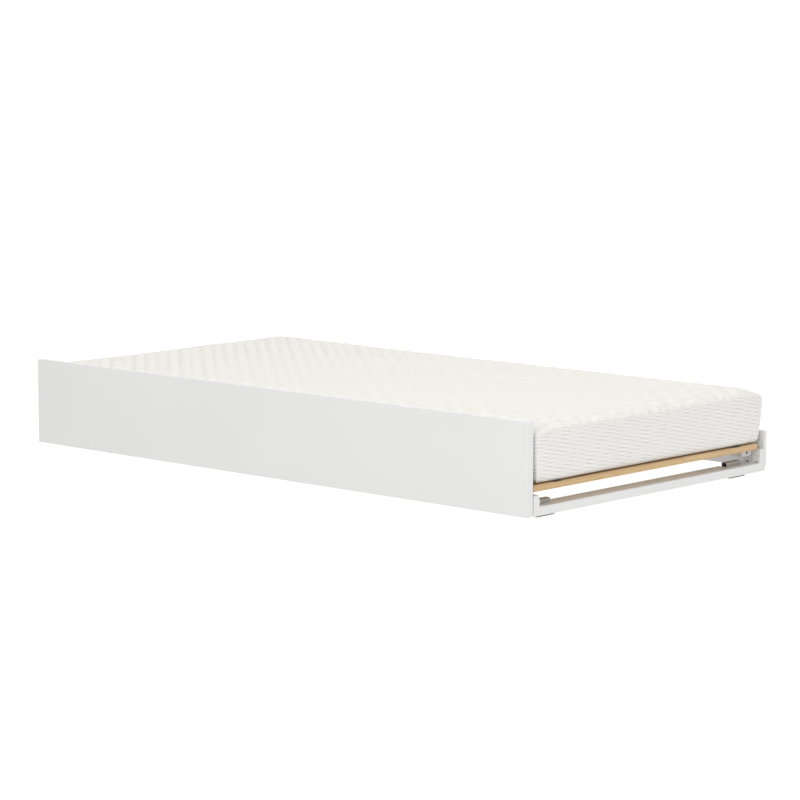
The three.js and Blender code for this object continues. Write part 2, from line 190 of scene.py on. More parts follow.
# Screws and dowels.
HEAD_RADIUS = 3.5 * MM
HEAD_HIGH = 2.2 * MM
HEAD_DOME = 0.93  # how round the head's top is, up to 1
SHANK_RADIUS = 1.8 * MM
SCREW_LONG = 15 * MM
SCREW_SIDES = 40
SCREW_POINT = 3 * MM
TIP_RADIUS = 0.1 * MM
THREAD_STEP = 0.6 * MM  # from the crest of a thread to its root
THREAD_STEPS = 18
THREAD_ROOT = 0.82  # share of the shank's radius
RECESS_WIDE = 0.55 * MM  # half the width of a cross recess's arm
RECESS_LONG = 2.1 * MM
RECESS_DEEP = 1.1 * MM
BRACKET_HOLE_UP = 11 * MM  # the hole in a bracket's upright leg, above its foot
BRACKET_THICK = 2 * MM
DOWEL_RADIUS = 4 * MM
DOWEL_DEEP = 2 * MM
DOWEL_PROUD = 0.25 * MM
DOWEL_SIDES = 28

# Castor wheels: shares are of the wheel's radius or of half its width.
WHEEL_SIDES = 72
WHEEL_HUB = 8 * MM
WHEEL_BORE = 3.3 * MM
TREAD_CROWN = 0.9 * MM
TREAD_WIDTH = 0.96
RIM_INNER = 0.8
WEB_OUTER = 0.76
WEB_INNER = 1.25  # share of the hub's radius
WEB_OUT = 0.72  # how far out the web's face is
WHEEL_RIBS = 5
RIB_OUT = 0.95
RIB_COSINE = 0.9  # sets how wide a rib is
TRAY_TOP = 11.8 * MM  # the castors' trays hang below this height

CORNERS = ("front_right", "front_left", "back_right", "back_left")


# ------------------------------------------------------------------ node helpers

class Nodes:
    """A node tree with short calls for the nodes that it is made of."""

    def __init__(self, tree):
        self.tree = tree

    def node(self, kind, inputs=None, **settings):
        made = self.tree.nodes.new("ShaderNode" + kind)
        for key, value in settings.items():
            setattr(made, key, value)
        for key, value in (inputs or {}).items():
            self.put(made.inputs[key], value)
        return made

    def put(self, socket, value):
        if isinstance(value, bpy.types.NodeSocket):
            self.tree.links.new(value, socket)
        else:
            socket.default_value = value

    def math(self, operation, *values):
        return self.node("Math", dict(enumerate(values)), operation=operation).outputs[0]

    def place(self, scale=(1, 1, 1)):
        values = {"Vector": self.node("TexCoord").outputs["Object"], "Scale": scale}
        return self.node("Mapping", values).outputs[0]

    def noise(self, vector, scale, detail=4.0, rough=0.5, distortion=0.0):
        values = {"Vector": vector, "Scale": scale, "Detail": detail, "Roughness": rough,
                  "Distortion": distortion}
        return self.node("TexNoise", values).outputs["Fac"]

    def ramp(self, factor, *stops):
        made = self.node("ValToRGB", {"Fac": factor})
        elements = made.color_ramp.elements
        while len(elements) < len(stops):
            elements.new(1.0)
        for element, (at, color) in zip(elements, stops):
            element.position = at
            element.color = (*color, 1)
        return made.outputs["Color"]

    def mix(self, factor, first, second, blend="MIX"):
        made = self.node("Mix", data_type="RGBA", blend_type=blend)
        self.put(made.inputs[0], factor)
        self.put(made.inputs[6], first)
        self.put(made.inputs[7], second)
        return made.outputs[2]

    def span(self, value, low, high, to_low, to_high):
        values = {"Value": value, "From Min": low, "From Max": high, "To Min": to_low, "To Max": to_high}
        return self.node("MapRange", values).outputs[0]

    def bump(self, height, distance, strength, under=None):
        values = {"Height": height, "Distance": distance, "Strength": strength}
        if under is not None:
            values["Normal"] = under
        return self.node("Bump", values).outputs[0]


class Look(Nodes):
    """A Principled material. Its sockets are given by name, with _ for a space."""

    def __init__(self, name, **sockets):
        self.material = bpy.data.materials.new(name)
        self.material.use_nodes = True
        super().__init__(self.material.node_tree)
        self.shader = self.tree.nodes["Principled BSDF"]
        for socket, value in sockets.items():
            self.to(socket.replace("_", " "), value)

    def to(self, socket, value):
        self.put(self.shader.inputs[socket], value)


# ------------------------------------------------------------------ materials

def lacquer(name):
    """White satin lacquer: a fine orange peel and the faintest mottling."""
    look = Look(name, Roughness=0.42, Coat_Weight=0.12, Coat_Roughness=0.25)
    place = look.place()
    cloud = look.noise(place, 3.0, detail=3.0)
    look.to("Base Color", look.ramp(cloud, (0.3, (0.745, 0.745, 0.74)), (0.7, (0.765, 0.765, 0.758))))
    peel = look.noise(place, 420.0, detail=2.0)
    look.to("Normal", look.bump(peel, 0.05 * MM, 0.5))
    look.to("Roughness", look.span(look.noise(place, 25.0), 0.3, 0.7, 0.38, 0.47))
    return look.material


def pine():
    """Planed pine along Y: long wavering grain, darker latewood lines and fine dark pores."""
    look = Look("pine_y", Roughness=0.55)
    along = (26.0, 1.1, 26.0)
    stretched = look.place(scale=along)
    drift = look.noise(look.place(scale=(3.0, 1.0, 3.0)), 2.2, detail=2.0)
    rings = look.noise(stretched, 2.4, detail=5.0, rough=0.62, distortion=0.6)
    lines = look.math("FRACT", look.math("MULTIPLY", look.math("ADD", rings, drift), 5.0))
    late = look.math("POWER", lines, 5.0)
    base = look.ramp(rings, (0.25, (0.56, 0.37, 0.175)), (0.75, (0.66, 0.465, 0.245)))
    grain = look.mix(look.math("MULTIPLY", late, 0.5), base, (0.40, 0.225, 0.085, 1))
    pores = look.noise(look.place(scale=tuple(9 * s for s in along)), 6.0, detail=2.0)
    speck = look.span(pores, 0.62, 0.75, 0.0, 0.22)
    look.to("Base Color", look.mix(speck, grain, (0.36, 0.21, 0.09, 1)))
    look.to("Roughness", look.span(late, 0.0, 1.0, 0.5, 0.66))
    fine = look.bump(pores, 0.12 * MM, 0.35)
    look.to("Normal", look.bump(late, 0.2 * MM, 0.35, under=fine))
    return look.material


def woven(name, color, pitch):
    """Flat woven webbing: rows of short raised floats that slant from row to row."""
    look = Look(name, Roughness=0.9, Sheen_Weight=0.25)
    place = look.place(scale=(1 / pitch, 1 / pitch, 1 / pitch))
    axes = look.node("SeparateXYZ", {"Vector": place}).outputs
    warp = look.math("SINE", look.math("MULTIPLY", axes[1], 2 * math.pi))
    weft = look.math("SINE", look.math("MULTIPLY", look.math("ADD", axes[0], axes[1]), math.pi))
    weave = look.math("MULTIPLY", look.math("ABSOLUTE", warp), look.math("ABSOLUTE", weft))
    pale = tuple(min(1.0, c * 2.6) for c in color)
    look.to("Base Color", look.ramp(weave, (0.1, color), (0.9, pale)))
    look.to("Normal", look.bump(weave, 0.4 * MM, 0.8))
    return look.material


def ticking():
    """Knitted mattress cover: ribs broken into staggered dashes, over a fine stitch.

    The map "fabric" counts ribs across and half stacks of dashes along the ribs, and the
    attribute "border" is 1 on the cover's sides, where the cloth is tighter and greyer, partly in its own
    colour and partly by painted shade of its ribs."""
    look = Look("knit_ticking", Roughness=0.95, Sheen_Weight=0.06)
    border = look.node("Attribute", attribute_name="border").outputs["Fac"]
    knit = knit_height(look)
    look.to("Base Color", ticking_color(look, knit, border))
    stitch = look.noise(look.place(), 900.0, detail=1.0)
    fine = look.bump(stitch, 0.25 * MM, 0.3)
    depth = look.math("MULTIPLY", knit, look.span(border, 0.0, 1.0, 0.45, 1.0))
    look.to("Normal", look.bump(depth, 0.8 * MM, 0.7, under=fine))
    return look.material


def knit_height(look):
    """Height of the knit, about -1 to 1: two crossing waves make the dashes, which wander and wear."""
    turns = look.node("SeparateXYZ", {"Vector": look.node("UVMap", uv_map="fabric").outputs[0]}).outputs
    loose = look.noise(look.place(), 14.0, detail=3.0)
    wander = look.math("MULTIPLY", look.math("SUBTRACT", loose, 0.5), 1.4)
    ribs = look.math("ADD", turns[0], wander)
    stacks = look.math("ADD", turns[1], wander)
    waves = []
    for operation, weight in (("SUBTRACT", FALLING_WAVE), ("ADD", 1 - FALLING_WAVE)):
        turn = look.math("MULTIPLY", look.math(operation, ribs, stacks), 2 * math.pi)
        waves.append(look.math("MULTIPLY", look.math("COSINE", turn), weight))
    soft = look.math("ADD", *waves)
    worn = look.span(look.noise(look.place(), 23.0, detail=2.0), 0.3, 0.7, 0.7, 1.25)
    return look.math("MULTIPLY", look.math("MULTIPLY", soft, look.math("ABSOLUTE", soft)), worn)


def ticking_color(look, knit, border):
    """Cream on the top, greyer on the border, partly the cloth's own colour and partly painted shade;
    painted shade between the raised dashes and painted highlight on them; and painted shade in creases and
    painted highlight on crowns, which a point attribute gives from -1 to 1."""
    # Painted shade where the knit sinks between its raised dashes, and painted highlight on the dashes.
    shade = look.span(knit, -1.0, 1.0, 0.0, 1.0)
    top = look.ramp(shade, (0.0, (0.87, 0.84, 0.79)), (0.5, (0.935, 0.905, 0.855)),
                    (1.0, (0.97, 0.94, 0.89)))
    # The border's ramp is greyer: partly the cloth's own colour, partly painted shade of its ribs.
    side = look.ramp(shade, (0.0, (0.70, 0.68, 0.65)), (0.5, (0.84, 0.825, 0.795)),
                     (1.0, (0.97, 0.955, 0.925)))
    # Painted shade in creases, hollows, stitches and the groove, and painted highlight on crowns and puffs.
    painted_relief_shade = look.node("Attribute", attribute_name="painted_relief_shade").outputs["Fac"]
    relief_light_and_shade = look.ramp(look.span(painted_relief_shade, -1.0, 1.0, 0.0, 1.0), (0.0, (0.82, 0.80, 0.77)),
                     (0.5, (0.945, 0.945, 0.945)), (1.0, (1, 1, 1)))
    return look.mix(1.0, look.mix(border, top, side), relief_light_and_shade, blend="MULTIPLY")


def steel(name, tone, roughness, metallic, foot=None):
    """Sheet steel: drawn lines, cloudy spangle and uneven gloss. Below foot it is dipped dark."""
    look = Look(name, Roughness=roughness, Metallic=metallic)
    lines = look.noise(look.place(scale=(300.0, 8.0, 300.0)), 1.0, detail=3.0)
    cloud = look.noise(look.place(), 60.0, detail=3.0)
    dull = tuple(c * 0.8 for c in tone)
    color = look.ramp(cloud, (0.3, dull), (0.7, tone))
    if foot is not None:
        height = look.node("SeparateXYZ", {"Vector": look.place()}).outputs[2]
        dipped = look.span(height, foot - 0.3 * MM, foot + 0.3 * MM, 1.0, 0.0)
        color = look.mix(dipped, color, (0.10, 0.10, 0.098, 1))
    look.to("Base Color", color)
    look.to("Roughness", look.span(cloud, 0.3, 0.7, roughness - 0.06, roughness + 0.1))
    look.to("Normal", look.bump(lines, 0.06 * MM, 0.4))
    return look.material


def nylon():
    """Moulded dark grey nylon with a fine spark-eroded grain, its tone and gloss a little uneven."""
    look = Look("grey_nylon", Roughness=0.5)
    place = look.place()
    grain = look.noise(place, 1400.0, detail=1.0)
    cloud = look.noise(place, 45.0, detail=3.0)
    look.to("Base Color", look.ramp(cloud, (0.3, (0.12, 0.117, 0.11)), (0.7, (0.16, 0.156, 0.147))))
    look.to("Roughness", look.span(cloud, 0.3, 0.7, 0.42, 0.6))
    look.to("Normal", look.bump(grain, 0.05 * MM, 0.5))
    return look.material


def floor_look():
    """A white sweep lit from below. It looks as white under the bed, but lights the bed less there."""
    look = Look("studio_floor", Roughness=1.0, Specular_IOR_Level=0.0, Emission_Color=(1, 1, 1, 1))
    axes = look.node("SeparateXYZ", {"Vector": look.place()}).outputs
    reach = [look.math("DIVIDE", look.math("ABSOLUTE", axes[a]), CAD_BOX[1][a]) for a in (0, 1)]
    glow = look.span(look.math("MAXIMUM", *reach), *UNDER_FADE, UNDER_GLOW, FLOOR_GLOW)
    seen = look.node("LightPath").outputs["Is Camera Ray"]
    cloud = look.noise(look.place(), 0.4, detail=2.0)
    look.to("Base Color", look.ramp(cloud, (0.3, (0.13, 0.13, 0.13)), (0.7, (0.14, 0.14, 0.14))))
    look.to("Emission Strength", look.math("MAXIMUM", glow, seen))
    return look.material


SLOT_LOOKS = {
    "lacquer": lacquer("white_lacquer"),
    "white_steel": lacquer("white_powder_coat"),
    "pine": pine(),
    "webbing": woven("black_webbing", (0.012, 0.011, 0.010), 3 * MM),
    "ticking": ticking(),
    "steel": steel("castor_steel", (0.47, 0.455, 0.43), 0.45, 0.75, foot=TRAY_TOP),
    "zinc": steel("zinc_plate", (0.70, 0.69, 0.67), 0.42, 0.35),
    "black_steel": steel("black_steel", (0.05, 0.047, 0.044), 0.5, 0.4),
    "nylon": nylon(),
}


def dress_cad_nodes():
    """Gives every carried-over CAD node the procedural material of its slot."""
    for part in frame["record"]["subparts"]:
        mesh = frame["nodes"][part["node"]].data
        mesh.materials.clear()
        mesh.materials.append(SLOT_LOOKS[part["material_slot"]])


# ------------------------------------------------------------------ mesh helpers

def link_object(name, data):
    made = bpy.data.objects.new(name, data)
    bpy.context.scene.collection.objects.link(made)
    return made


def mesh_piece(name, vertices, faces, slot, body):
    """A smooth-shaded piece that rides on a body and takes its finish from a slot."""
    mesh = bpy.data.meshes.new(name)
    mesh.from_pydata([tuple(v) for v in vertices], [], faces)
    mesh.validate()
    mesh.materials.append(SLOT_LOOKS[slot])
    mesh.shade_smooth()
    made = link_object(name, mesh)
    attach(made, body)
    return made


def band(start, count):
    """Faces between a ring of points, whose first is start, and the ring of the next points."""
    following = [(k + 1) % count for k in range(count)]
    return [[start + k, start + n, start + count + n, start + count + k] for k, n in enumerate(following)]


# ------------------------------------------------------------------ mattress

def graded(half, step, edge, fine):
    """Grid lines from -half to half: about step apart, but fine apart within edge of the ends."""
    rim = np.linspace(0, edge, max(2, round(edge / fine) + 1))
    inner = np.linspace(-(half - edge), half - edge, max(2, round(2 * (half - edge) / step) + 1))
    return np.concatenate([-half + rim[:-1], inner, (half - rim[:-1])[::-1]])


class BoxGrid:
    """Closed surface of a box with the given grid lines. Its underside is coarse past a margin.

    zones says for each face which axis it crosses, 0, 1 or 2, or 3 for the underside."""

    def __init__(self, xs, ys, zs, margin=0, block=1):
        self.lines = (xs, ys, zs)
        self.index = {}
        self.points = []
        self.faces = []
        self.zones = []
        for axis in range(3):
            for side in (-1, 1):
                if axis == 2 and side < 0 and block > 1:
                    self.underside(margin, block)
                else:
                    self.wall(axis, side, self.cells(axis))

    def cells(self, axis):
        u, v = (axis + 1) % 3, (axis + 2) % 3
        return [(i, i + 1, j, j + 1)
                for i in range(len(self.lines[u]) - 1) for j in range(len(self.lines[v]) - 1)]

    def vertex(self, key):
        if key not in self.index:
            self.index[key] = len(self.points)
            self.points.append([self.lines[a][key[a]] for a in range(3)])
        return self.index[key]

    def wall(self, axis, side, cells):
        u, v = (axis + 1) % 3, (axis + 2) % 3
        for i0, i1, j0, j1 in cells:
            ring = []
            for a, b in self.outline(i0, i1, j0, j1):
                key = [0, 0, 0]
                key[axis] = 0 if side < 0 else len(self.lines[axis]) - 1
                key[u], key[v] = a, b
                corner = a in (i0, i1) and b in (j0, j1)
                if corner or tuple(key) in self.index:
                    ring.append(self.vertex(tuple(key)))
            self.faces.append(ring if side > 0 else ring[::-1])
            self.zones.append(3 if (axis, side) == (2, -1) else axis)

    @staticmethod
    def outline(i0, i1, j0, j1):
        """Every grid crossing round a block, so that a coarse block takes its fine neighbour's."""
        yield from ((i, j0) for i in range(i0, i1))
        yield from ((i1, j) for j in range(j0, j1))
        yield from ((i, j1) for i in range(i1, i0, -1))
        yield from ((i0, j) for j in range(j1, j0, -1))

    def underside(self, margin, block):
        counts = (len(self.lines[0]) - 1, len(self.lines[1]) - 1)
        rim = [cell for cell in self.cells(2)
               if not all(margin <= at < count - margin for at, count in zip(cell[::2], counts))]
        spans = []
        for count in counts:
            cuts = [*range(margin, count - margin, block), count - margin]
            spans.append(list(zip(cuts, cuts[1:])))
        self.wall(2, -1, rim)
        self.wall(2, -1, [(*a, *b) for a in spans[0] for b in spans[1]])


def at_corners(points, half, reach):
    """1 at the upright corners of the box, and less with the distance from them."""
    away = np.hypot(half[0] - np.abs(points[:, 0]), half[1] - np.abs(points[:, 1]))
    return np.exp(-((away / reach) ** 2))


def square_to_round(u, v):
    """Moves points of the square quarter onto the round quarter, keeping the axes where they are."""
    reach = np.maximum(u, v) / np.maximum(np.hypot(u, v), 1e-9)
    return u * reach, v * reach


def plan_edge(q, half, corner):
    """How far in from the plan's outline each point is, and the way out, in the first quarter."""
    cx, cy = q[:, 0] - (half[0] - corner), q[:, 1] - (half[1] - corner)
    radial = np.maximum(np.hypot(cx, cy), 1e-9)
    in_corner = (cx > 0) & (cy > 0)
    away = half[:2] - q[:, :2]
    inward = np.where(in_corner, corner - radial, away.min(axis=1))
    nx = np.where(in_corner, cx / radial, (away[:, 0] < away[:, 1]) * 1.0)
    ny = np.where(in_corner, cy / radial, (away[:, 0] >= away[:, 1]) * 1.0)
    return inward, nx, ny


def round_plan(q, half, corner):
    """Rounds the upright corners, in the first quarter."""
    u, v = ((q[:, a] - (half[a] - corner)) / corner for a in (0, 1))
    both = (u > 0) & (v > 0)
    ru, rv = square_to_round(u[both], v[both])
    q[both, 0] = half[0] - corner[both] * (1 - ru)
    q[both, 1] = half[1] - corner[both] * (1 - rv)


def rounded(points, half):
    """Turns a box about the origin into the mattress: round corners and rims, a border that leans
    in to its foot, and corners that droop at the top and tuck in at the foot."""
    sign = np.where(points < 0, -1.0, 1.0)
    q = np.abs(points)
    corner = np.where(points[:, 1] < 0, FRONT_CORNER, PLAN_CORNER)
    round_plan(q, half, corner)
    inward, nx, ny = plan_edge(q, half, corner)
    edge = np.where(points[:, 2] > 0, TOP_ROUND, BOTTOM_ROUND)
    below = half[2] - q[:, 2]
    rim = (inward < edge) & (below < edge)
    ru, rv = square_to_round(1 - inward[rim] / edge[rim], 1 - below[rim] / edge[rim])
    shift = np.zeros(len(q))
    shift[rim] = inward[rim] - edge[rim] * (1 - ru)
    q[rim, 2] = half[2] - edge[rim] * (1 - rv)
    height = q[:, 2] * sign[:, 2] / half[2]
    cornered = at_corners(q, half, CORNER_REACH)
    lean = np.clip((LEAN_FROM - height) / (LEAN_FROM + 1), 0, 1) ** LEAN_CURVE
    near = np.clip(1 - inward / LEAN_REACH, 0, 1)
    shift -= near * lean * (TAPER + CORNER_TUCK * cornered)
    q[:, 0] += nx * shift
    q[:, 1] += ny * shift
    droop = CORNER_DROOP * np.where(points[:, 0] > 0, 1.0, LEFT_DROOP)
    q[:, 2] -= droop * cornered ** 1.5 * np.clip(height, 0, 1) ** 2
    return q * sign


def mattress_block():
    """Middle and half size of the box that the cover is made from: its CAD block and an ease."""
    low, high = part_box("mattress")
    low = np.array(low) + (-EASE_END, -EASE_FRONT, 0)
    high = np.array(high) + (EASE_END, EASE_BACK, EASE_TOP)
    return (low + high) / 2, (high - low) / 2


def mattress_grid(step, fine, **underside):
    """The box that the cover is made from, with finer cells along its rims."""
    half = mattress_block()[1]
    xs = graded(half[0], step, PLAN_CORNER, fine)
    ys = graded(half[1], step, PLAN_CORNER, fine)
    zs = graded(half[2], step, TOP_ROUND, fine)
    return BoxGrid(xs, ys, zs, **underside)


def inflate(points, faces, middle, half):
    """Cloth simulation of the cover, blown out a little round its foam. Returns each point's move."""
    mesh = bpy.data.meshes.new("cover_sim")
    mesh.from_pydata([tuple(p) for p in points], [], faces)
    cover = link_object("cover_sim", mesh)
    held = cover.vertex_groups.new(name="held")
    height = (points[:, 2] - middle[2]) / half[2]
    hold = HELD_TOP + HELD_UNEVEN * smooth_field(points, HELD_SIZE, SEED + 2)
    for i in range(len(points)):
        if height[i] < -HELD_PAST:
            held.add([i], 1.0, "REPLACE")
        elif height[i] > HELD_PAST:
            held.add([i], float(hold[i]), "REPLACE")
    set_cloth(cover.modifiers.new("cloth", "CLOTH"))
    scene = bpy.context.scene
    for number in range(1, SIM_FRAMES + 1):
        scene.frame_set(number)
    evaluated = cover.evaluated_get(bpy.context.evaluated_depsgraph_get())
    moved = np.array([tuple(v.co) for v in evaluated.data.vertices]) - points
    scene.frame_set(1)
    length = np.linalg.norm(moved, axis=1, keepdims=True)
    bpy.data.objects.remove(cover)
    return moved * np.minimum(1.0, BULGE / np.maximum(length, 1e-9))


def set_cloth(cloth):
    """A light cloth under pressure, without weight, held by its group of points."""
    cloth.collision_settings.use_collision = False
    cloth.collision_settings.use_self_collision = False
    settings = cloth.settings
    settings.quality = 4
    settings.mass = CLOTH_MASS
    settings.tension_stiffness = CLOTH_STIFFNESS
    settings.compression_stiffness = CLOTH_STIFFNESS
    settings.bending_stiffness = CLOTH_BENDING
    settings.use_pressure = True
    settings.uniform_pressure_force = CLOTH_PRESSURE
    settings.vertex_group_mass = "held"
    settings.effector_weights.gravity = 0


def carry(points, coarse, faces, moved):
    """The coarse cover's movement, read at each of the given points."""
    triangles = [t for f in faces for t in ((f[0], f[1], f[2]), (f[0], f[2], f[3]))]
    tree = BVHTree.FromPolygons([Vector(p) for p in coarse], triangles)
    result = np.zeros_like(points)
    for i, p in enumerate(points):
        near, _, which, _ = tree.find_nearest(Vector(p))
        corners = triangles[which]
        weights = poly_3d_calc([Vector(coarse[c]) for c in corners], near)
        result[i] = sum(w * moved[c] for w, c in zip(weights, corners))
    return result


def smooth_field(points, size, seed):
    """A soft random value, mostly from -1 to 1, at each point, with waves of about the given size."""
    rng = np.random.default_rng(seed)
    total = np.zeros(len(points))
    for _ in range(WAVES):
        way = rng.normal(size=3)
        way /= np.linalg.norm(way)
        turns = points @ way * (2 * math.pi / (size * rng.uniform(0.6, 1.6)))
        total += np.cos(turns + rng.uniform(0, 2 * math.pi))
    return total * WAVES_SCALE


def uneven(points, size, seed, share):
    """A share that varies softly over the points, from its middle, swing, least and most."""
    middle, swing, least, most = share
    return np.clip(middle + swing * smooth_field(points, size, seed), least, most)


def fabric_turns(flat, zone, half):
    """Ribs across, and half stacks of dashes along them, for points of the unrounded box."""
    x, y, z = flat.T
    across = np.select([zone == 0, zone == 1], [half[0] + half[2] - z, half[2] - z], x)
    along = np.where(zone == 1, x, y)
    on_top = zone >= 2
    stack = np.where(on_top, TOP_STACK, BORDER_STACK)
    lean = np.where(on_top, TOP_LEAN, BORDER_LEAN)
    ribs = (across - RIB_SLANT * along) / RIB_PITCH
    return ribs, (along + lean * across) / (2 * stack)


def around(flat, half):
    """Distance along the rim, all the way round, of each point of the unrounded box."""
    x, y = flat[:, 0], flat[:, 1]
    on_end = half[0] - np.abs(x) < half[1] - np.abs(y)
    ends = np.where(x > 0, y, 2 * (half[0] + half[1]) - y)
    sides = np.where(y > 0, half[1] + half[0] - x, 3 * half[1] + 3 * half[0] + x)
    return np.where(on_end, ends, sides)


def pillows(points, flat, half):
    """The valleys between the top's diagonal pillows, 0 to 1, and how much the pillows show there."""
    turns = fabric_turns(flat, np.full(len(flat), 2), half)[1]
    fade = np.clip(PILLOW_MIDDLE - points[:, 0] / PILLOW_FADE, PILLOW_LEAST, 1.0)
    return np.cos(2 * math.pi * turns) ** 4, fade * uneven(points, PILLOW_SIZE, SEED + 4, PILLOW_SHARE)


def puckers(points, inward):
    """Small soft lumps of the top, strongest at its rim."""
    spread = PUCKER_FAR + (1 - PUCKER_FAR) * np.exp(-np.abs(inward) / PUCKER_REACH)
    return spread * smooth_field(points, PUCKER_SIZE, SEED + 3)


def seam_puffs(points, flat, half):
    """The seam's puffs along the rim, 0 to 1, and how strong the seam is there."""
    whole = 4 * (half[0] + half[1])
    pitch = whole / round(whole / SEAM_PITCH)
    stray = SEAM_STRAY * smooth_field(points, SEAM_STRAY_SIZE, SEED + 1)
    puff = np.abs(np.cos(math.pi * (around(flat, half) + stray) / pitch))
    kept = 1 - SEAM_FLAT * at_corners(flat, half, SEAM_FADE)
    return puff, kept * uneven(points, SEAM_SIZE, SEED + 5, SEAM_SHARE)


def relief(points, flat, half):
    """How far the cloth stands out at each point, and its painted light and shade, from -1, painted shade
    in a crease, to 1, a painted highlight on a crown: diagonal pillows and puckers on the top, and a seam
    of puffs with a groove under it."""
    inward = np.minimum(half[0] - np.abs(flat[:, 0]), half[1] - np.abs(flat[:, 1]))
    top = flat[:, 2] > half[2] - TINY
    foot = flat[:, 2] < TINY - half[2]
    below_rim = np.where(top, -inward, half[2] - flat[:, 2])
    ridge = np.exp(-(((below_rim - SEAM_DOWN) / SEAM_WIDTH) ** 2))
    groove = np.exp(-(((below_rim - GROOVE_DOWN) / GROOVE_WIDTH) ** 2))
    soft = SOFT_HEIGHT * smooth_field(points, SOFT_SIZE, SEED)
    valley, fade = pillows(points, flat, half)
    pucker = puckers(points, inward)
    puff, lively = seam_puffs(points, flat, half)
    strength = ridge * lively
    on_top = soft + fade * PILLOW_HEIGHT * (PILLOW_CREST - valley) + PUCKER_HEIGHT * pucker
    on_rim = SEAM_HEIGHT * strength * (puff - SEAM_SUNK) - GROOVE_DEEP * groove
    height = np.where(top, on_top, np.where(foot, 0, soft)) + on_rim
    # Painted shade in the pillows' valleys and in hollows, painted highlight on pillows and lumps; then
    # painted highlight on the seam's puffs and painted shade at its stitches and groove.
    painted_top_shading = fade * (PILLOW_HIGHLIGHT - VALLEY_SHADE * valley)
    painted_top_shading += pucker * np.where(pucker > 0, LUMP_HIGHLIGHT, HOLLOW_SHADE)
    painted_relief_shade = np.where(top, painted_top_shading * (1 - ridge), 0)
    painted_relief_shade += strength * (PUFF_HIGHLIGHT * puff - STITCH_SHADE) - GROOVE_SHADE * groove
    return height, np.clip(painted_relief_shade, -1, 1)


def cover_points(flat, middle, half):
    """Places of the cover's points, after the cloth simulation."""
    points = rounded(flat, half) + middle
    grid = mattress_grid(SIM_STEP, SIM_STEP / 2)
    coarse = rounded(np.array(grid.points), half) + middle
    moved = inflate(coarse, grid.faces, middle, half)
    return points + carry(points, coarse, grid.faces, moved)


def map_fabric(mesh, grid, flat, half):
    """Writes the map that the knit follows, which counts its ribs and stacks of dashes."""
    corner = np.zeros(len(mesh.loops), dtype=int)
    mesh.loops.foreach_get("vertex_index", corner)
    sides = np.zeros(len(mesh.polygons), dtype=int)
    mesh.polygons.foreach_get("loop_total", sides)
    ribs, stacks = fabric_turns(flat[corner], np.repeat(grid.zones, sides), half)
    layer = mesh.uv_layers.new(name="fabric")
    layer.data.foreach_set("uv", np.column_stack([ribs, stacks]).ravel())


def set_point_values(mesh, name, values):
    attribute = mesh.attributes.new(name, "FLOAT", "POINT")
    attribute.data.foreach_set("value", values.astype(np.float32))


def make_mattress():
    """The knitted cover, which stands for the mattress's CAD block."""
    middle, half = mattress_block()
    grid = mattress_grid(COVER_STEP, RIM_STEP, margin=UNDER_MARGIN, block=UNDER_BLOCK)
    flat = np.array(grid.points)
    points = cover_points(flat, middle, half)
    made = mesh_piece("mattress_cover", points, grid.faces, "ticking", "mattress")
    mesh = made.data
    normals = np.zeros(len(points) * 3)
    mesh.vertex_normals.foreach_get("vector", normals)
    height, painted_relief_shade = relief(points, flat, half)
    points = points + normals.reshape(-1, 3) * height[:, None]
    mesh.vertices.foreach_set("co", points.ravel())
    mesh.update()
    map_fabric(mesh, grid, flat, half)
    border = np.clip((half[2] - flat[:, 2]) / TOP_ROUND, 0, 1)
    # Painted shade: the top's corners take on the border's greyer colour.
    border = np.maximum(border, CORNER_SHADE * at_corners(flat, half, CORNER_REACH))
    set_point_values(mesh, "border", border)
    # Painted shade in creases and painted highlight on crowns and puffs, for the cover's colour.
    set_point_values(mesh, "painted_relief_shade", painted_relief_shade)
    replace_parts(made, "mattress")


# ------------------------------------------------------------------ webbing

def make_straps():
    """Two woven straps that lie on the slats and hang a little between them, and their staples."""
    slats = [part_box(node) for node in sorted(frame["nodes"]) if node.startswith("slat_")]
    middles = np.array([(low[0] + high[0]) / 2 for low, high in slats])
    pitch = middles[1] - middles[0]
    for side in ("front", "back"):
        node = side + "_webbing_strap"
        low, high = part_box(node)
        half, y = (high[1] - low[1]) / 2, (high[1] + low[1]) / 2
        section = strap_section(half, high[2] - low[2])
        xs = np.linspace(low[0], high[0], round((high[0] - low[0]) / STRAP_STEP))
        dips = STRAP_DIP * np.clip(-np.cos((xs - middles[0]) * 2 * math.pi / pitch), 0, 1)
        rings = [[(x, y + across, low[2] + up - dip) for across, up in section] for x, dip in zip(xs, dips)]
        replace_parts(loft(side + "_strap_woven", rings, "webbing", "frame"), node)
        make_staples(side, middles, y, high[2])


def strap_section(half, thick):
    """A flat band with a rounder, slightly thinner selvedge along both edges."""
    edge = 0.35 * thick
    right = [(half - SELVEDGE, 0), (half - edge, 0.1 * thick), (half, 0.5 * thick),
             (half - edge, 0.85 * thick), (half - SELVEDGE, thick)]
    left = [(-across, up) for across, up in reversed(right)]
    inner = half - 2.5 * SELVEDGE
    return right + [(inner, 0.92 * thick), (-inner, 0.92 * thick)] + left + [(-inner, 0), (inner, 0)]


def loft(name, rings, slot, body):
    """A closed piece through rings of points, capped at both ends."""
    count = len(rings[0])
    faces = [list(range(count))[::-1], [(len(rings) - 1) * count + k for k in range(count)]]
    for i in range(len(rings) - 1):
        faces += band(i * count, count)
    return mesh_piece(name, [p for ring in rings for p in ring], faces, slot, body)


